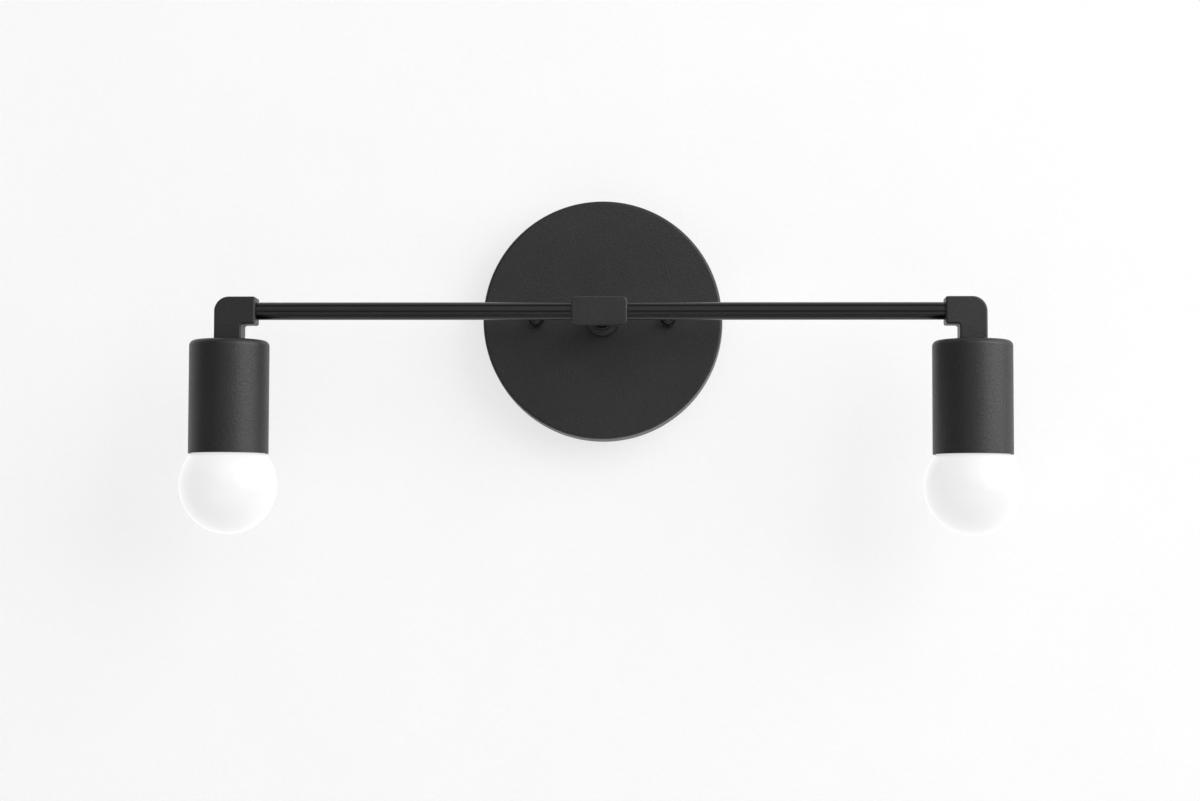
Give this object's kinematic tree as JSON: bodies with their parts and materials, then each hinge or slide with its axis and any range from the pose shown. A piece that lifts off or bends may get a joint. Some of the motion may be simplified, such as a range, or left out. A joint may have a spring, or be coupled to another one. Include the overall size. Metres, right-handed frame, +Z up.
{
  "type": "vanity light",
  "caption": "Wall vanity light with a round canopy, straight arms and downward cup sockets that hold globe bulbs.",
  "frame": {"origin": "centre of the canopy's back, on the wall plane", "axes": "+Z up, +X to the right as seen from in front, +Y into the wall; the fixture stands out along -Y"},
  "size_m": [0.431, 0.095, 0.1787],
  "materials": {
    "satin_black": "satin black powder coat",
    "zinc_steel": "bright zinc plate",
    "nickel_steel": "nickel plate",
    "brass": "rolled sheet brass",
    "green_screw": "green dyed zinc plate",
    "copper_wire": "green insulation on copper",
    "green_plastic": "moulded plastic",
    "orange_plastic": "moulded plastic",
    "black_insulation": "satin wire insulation",
    "white_insulation": "satin wire insulation",
    "porcelain": "white glaze",
    "frosted_glass": "frosted white inside",
    "bulb_cap_metal": "bright rolled aluminium",
    "black_glass": "opaque black glass",
    "solder": "dull solder"
  },
  "bodies": {
    "fixture": {"canopy": "satin_black", "crossbar": "zinc_steel", "canopy_studs": "zinc_steel", "stud_lock_nuts": "zinc_steel", "cap_nuts": "satin_black", "ground_screw": "green_screw", "ground_wire": "copper_wire", "ground_wire_nut": "green_plastic", "black_wire_nut": "orange_plastic", "white_wire_nut": "orange_plastic", "stem_nipple": "zinc_steel", "stem_lock_washer": "zinc_steel", "stem_lock_nut": "zinc_steel", "stem_collar": "satin_black", "stem_tube": "satin_black", "tee_block": "satin_black", "left_arm_tube": "satin_black", "left_elbow": "satin_black", "left_cup": "satin_black", "left_socket_nipple": "zinc_steel", "left_socket_lock_washer": "zinc_steel", "left_socket_lock_nut": "zinc_steel", "left_socket_bracket": "zinc_steel", "left_bracket_screws": "zinc_steel", "left_socket_body": "porcelain", "left_socket_shell": "brass", "left_centre_contact": "brass", "left_neutral_terminal_plate": "brass", "left_hot_terminal_screw": "brass", "left_neutral_terminal_screw": "nickel_steel", "left_black_lead": "black_insulation", "left_white_lead": "white_insulation", "right_arm_tube": "satin_black", "right_elbow": "satin_black", "right_cup": "satin_black", "right_socket_nipple": "zinc_steel", "right_socket_lock_washer": "zinc_steel", "right_socket_lock_nut": "zinc_steel", "right_socket_bracket": "zinc_steel", "right_bracket_screws": "zinc_steel", "right_socket_body": "porcelain", "right_socket_shell": "brass", "right_centre_contact": "brass", "right_neutral_terminal_plate": "brass", "right_hot_terminal_screw": "brass", "right_neutral_terminal_screw": "nickel_steel", "right_black_lead": "black_insulation", "right_white_lead": "white_insulation"},
    "left_bulb_carrier": {"left_bulb_tip": "solder"},
    "left_bulb": {"left_bulb_globe": "frosted_glass", "left_bulb_cap": "bulb_cap_metal", "left_bulb_insulator": "black_glass"},
    "right_bulb_carrier": {"right_bulb_tip": "solder"},
    "right_bulb": {"right_bulb_globe": "frosted_glass", "right_bulb_cap": "bulb_cap_metal", "right_bulb_insulator": "black_glass"}
  },
  "joints": [
    {"name": "left_bulb_travel", "type": "slide", "parent": "fixture", "child": "left_bulb_carrier", "axis": [0, 0, -1], "range_m": [0, 0.01633]},
    {"name": "left_bulb_turn", "type": "hinge", "parent": "left_bulb_carrier", "child": "left_bulb", "pos_m": [-0.1905, -0.07, 0], "axis": [0, 0, -1], "range_deg": [0, 1620]},
    {"name": "right_bulb_travel", "type": "slide", "parent": "fixture", "child": "right_bulb_carrier", "axis": [0, 0, -1], "range_m": [0, 0.01633]},
    {"name": "right_bulb_turn", "type": "hinge", "parent": "right_bulb_carrier", "child": "right_bulb", "pos_m": [0.1905, -0.07, 0], "axis": [0, 0, -1], "range_deg": [0, 1620]}
  ],
  "couplings": [
    {"joint": "left_bulb_travel", "follows": "left_bulb_turn", "m_per_rad": 0.00057751},
    {"joint": "right_bulb_travel", "follows": "right_bulb_turn", "m_per_rad": 0.00057751}
  ]
}
